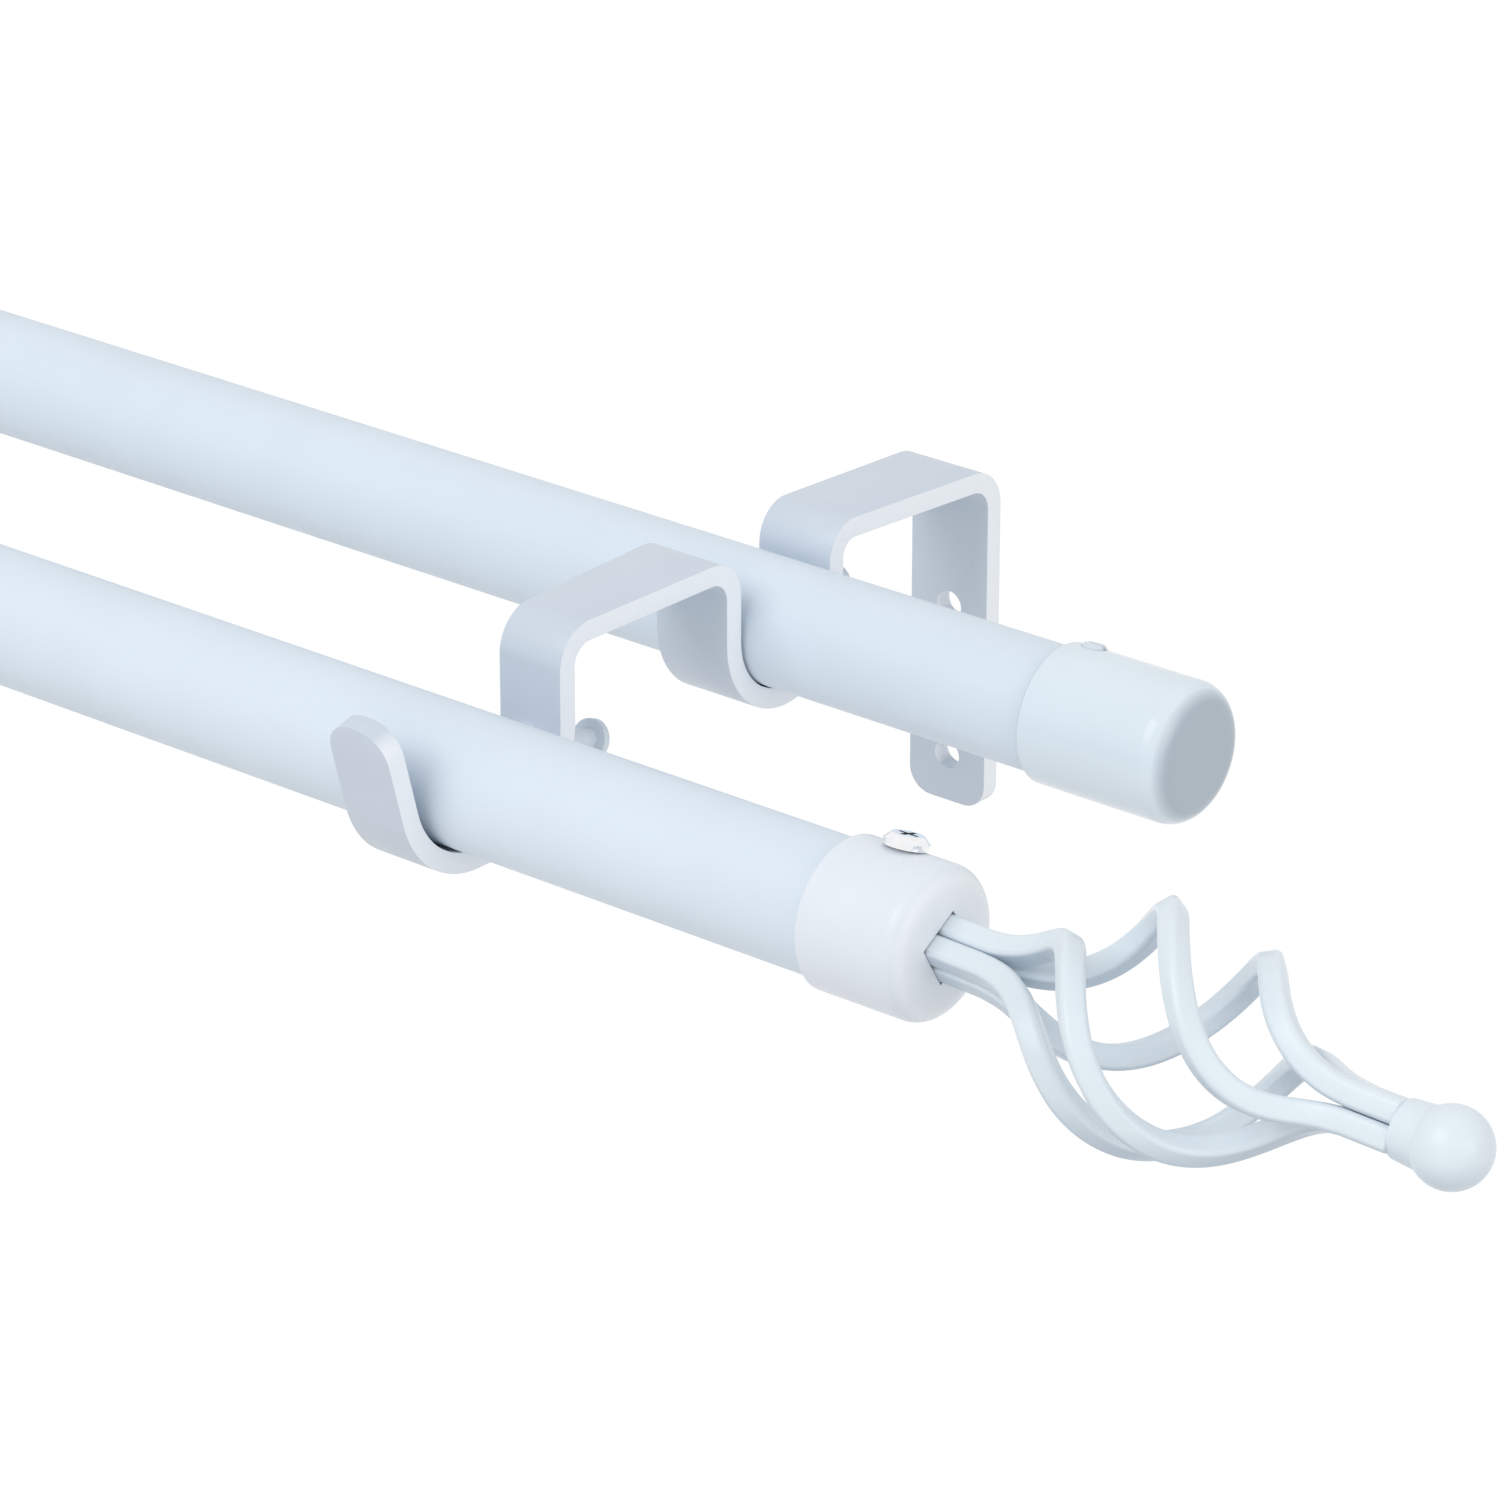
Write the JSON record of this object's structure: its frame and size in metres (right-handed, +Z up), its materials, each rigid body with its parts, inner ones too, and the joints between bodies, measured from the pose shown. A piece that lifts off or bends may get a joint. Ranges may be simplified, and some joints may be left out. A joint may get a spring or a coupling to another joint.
{
  "type": "double curtain rod",
  "caption": "White extending double curtain rod on two bent-strip wall brackets, with twisted basket finials on the front rod and plain end caps on the back rod.",
  "frame": {"origin": "on the wall plane, midway between the right bracket's two wall screw holes", "axes": "+X along the rods towards the fixed right-hand finial, +Y into the wall, +Z up"},
  "size_m": [0.8776, 0.1309, 0.0586],
  "materials": {
    "white_coat": "gloss",
    "bright_screw": "bright"
  },
  "bodies": {
    "fixed_rods_and_brackets": {"right_bracket": "white_coat", "left_bracket": "white_coat", "front_outer_tube": "white_coat", "back_outer_tube": "white_coat", "right_finial_collar": "white_coat", "right_finial_bar_1": "white_coat", "right_finial_bar_2": "white_coat", "right_finial_bar_3": "white_coat", "right_finial_bar_4": "white_coat", "right_finial_ball": "white_coat", "right_end_cap": "white_coat"},
    "front_inner_rod": {"front_inner_tube": "white_coat", "left_finial_collar": "white_coat", "left_finial_bar_1": "white_coat", "left_finial_bar_2": "white_coat", "left_finial_bar_3": "white_coat", "left_finial_bar_4": "white_coat", "left_finial_ball": "white_coat"},
    "back_inner_rod": {"back_inner_tube": "white_coat", "left_end_cap": "white_coat"},
    "right_front_lock_screw_body": {"right_front_lock_screw": "white_coat"},
    "right_back_lock_screw_body": {"right_back_lock_screw": "white_coat"},
    "right_finial_set_screw_body": {"right_finial_set_screw": "bright_screw"},
    "right_cap_set_screw_body": {"right_cap_set_screw": "white_coat"},
    "left_front_lock_screw_body": {"left_front_lock_screw": "white_coat"},
    "left_back_lock_screw_body": {"left_back_lock_screw": "white_coat"},
    "left_finial_set_screw_body": {"left_finial_set_screw": "bright_screw"},
    "left_cap_set_screw_body": {"left_cap_set_screw": "white_coat"}
  },
  "joints": [
    {"name": "front_rod_extends", "type": "slide", "parent": "fixed_rods_and_brackets", "child": "front_inner_rod", "axis": [-1, 0, 0], "range_m": [0, 0.508]},
    {"name": "back_rod_extends", "type": "slide", "parent": "fixed_rods_and_brackets", "child": "back_inner_rod", "axis": [-1, 0, 0], "range_m": [0, 0.508]},
    {"name": "right_front_lock_screw_turns", "type": "hinge", "parent": "fixed_rods_and_brackets", "child": "right_front_lock_screw_body", "pos_m": [0, -0.09369, 0.02133], "axis": [0, 0.9455, -0.3256], "continuous": true},
    {"name": "right_back_lock_screw_turns", "type": "hinge", "parent": "fixed_rods_and_brackets", "child": "right_back_lock_screw_body", "pos_m": [0, -0.03378, 0.02443], "axis": [0, 0.9945, -0.1045], "continuous": true},
    {"name": "right_finial_set_screw_turns", "type": "hinge", "parent": "fixed_rods_and_brackets", "child": "right_finial_set_screw_body", "pos_m": [0.0763, -0.1092, 0.0333], "axis": [0, 0.309, 0.9511], "continuous": true},
    {"name": "right_cap_set_screw_turns", "type": "hinge", "parent": "fixed_rods_and_brackets", "child": "right_cap_set_screw_body", "pos_m": [0.0584, -0.04561, 0.03501], "axis": [0, 0.309, 0.9511], "continuous": true},
    {"name": "left_front_lock_screw_turns", "type": "hinge", "parent": "fixed_rods_and_brackets", "child": "left_front_lock_screw_body", "pos_m": [-0.54, -0.09369, 0.02133], "axis": [0, 0.9455, -0.3256], "continuous": true},
    {"name": "left_back_lock_screw_turns", "type": "hinge", "parent": "fixed_rods_and_brackets", "child": "left_back_lock_screw_body", "pos_m": [-0.54, -0.03378, 0.02443], "axis": [0, 0.9945, -0.1045], "continuous": true},
    {"name": "left_finial_set_screw_turns", "type": "hinge", "parent": "front_inner_rod", "child": "left_finial_set_screw_body", "pos_m": [-0.6163, -0.1092, 0.0333], "axis": [0, 0.309, 0.9511], "continuous": true},
    {"name": "left_cap_set_screw_turns", "type": "hinge", "parent": "back_inner_rod", "child": "left_cap_set_screw_body", "pos_m": [-0.5984, -0.04561, 0.03501], "axis": [0, 0.309, 0.9511], "continuous": true}
  ]
}
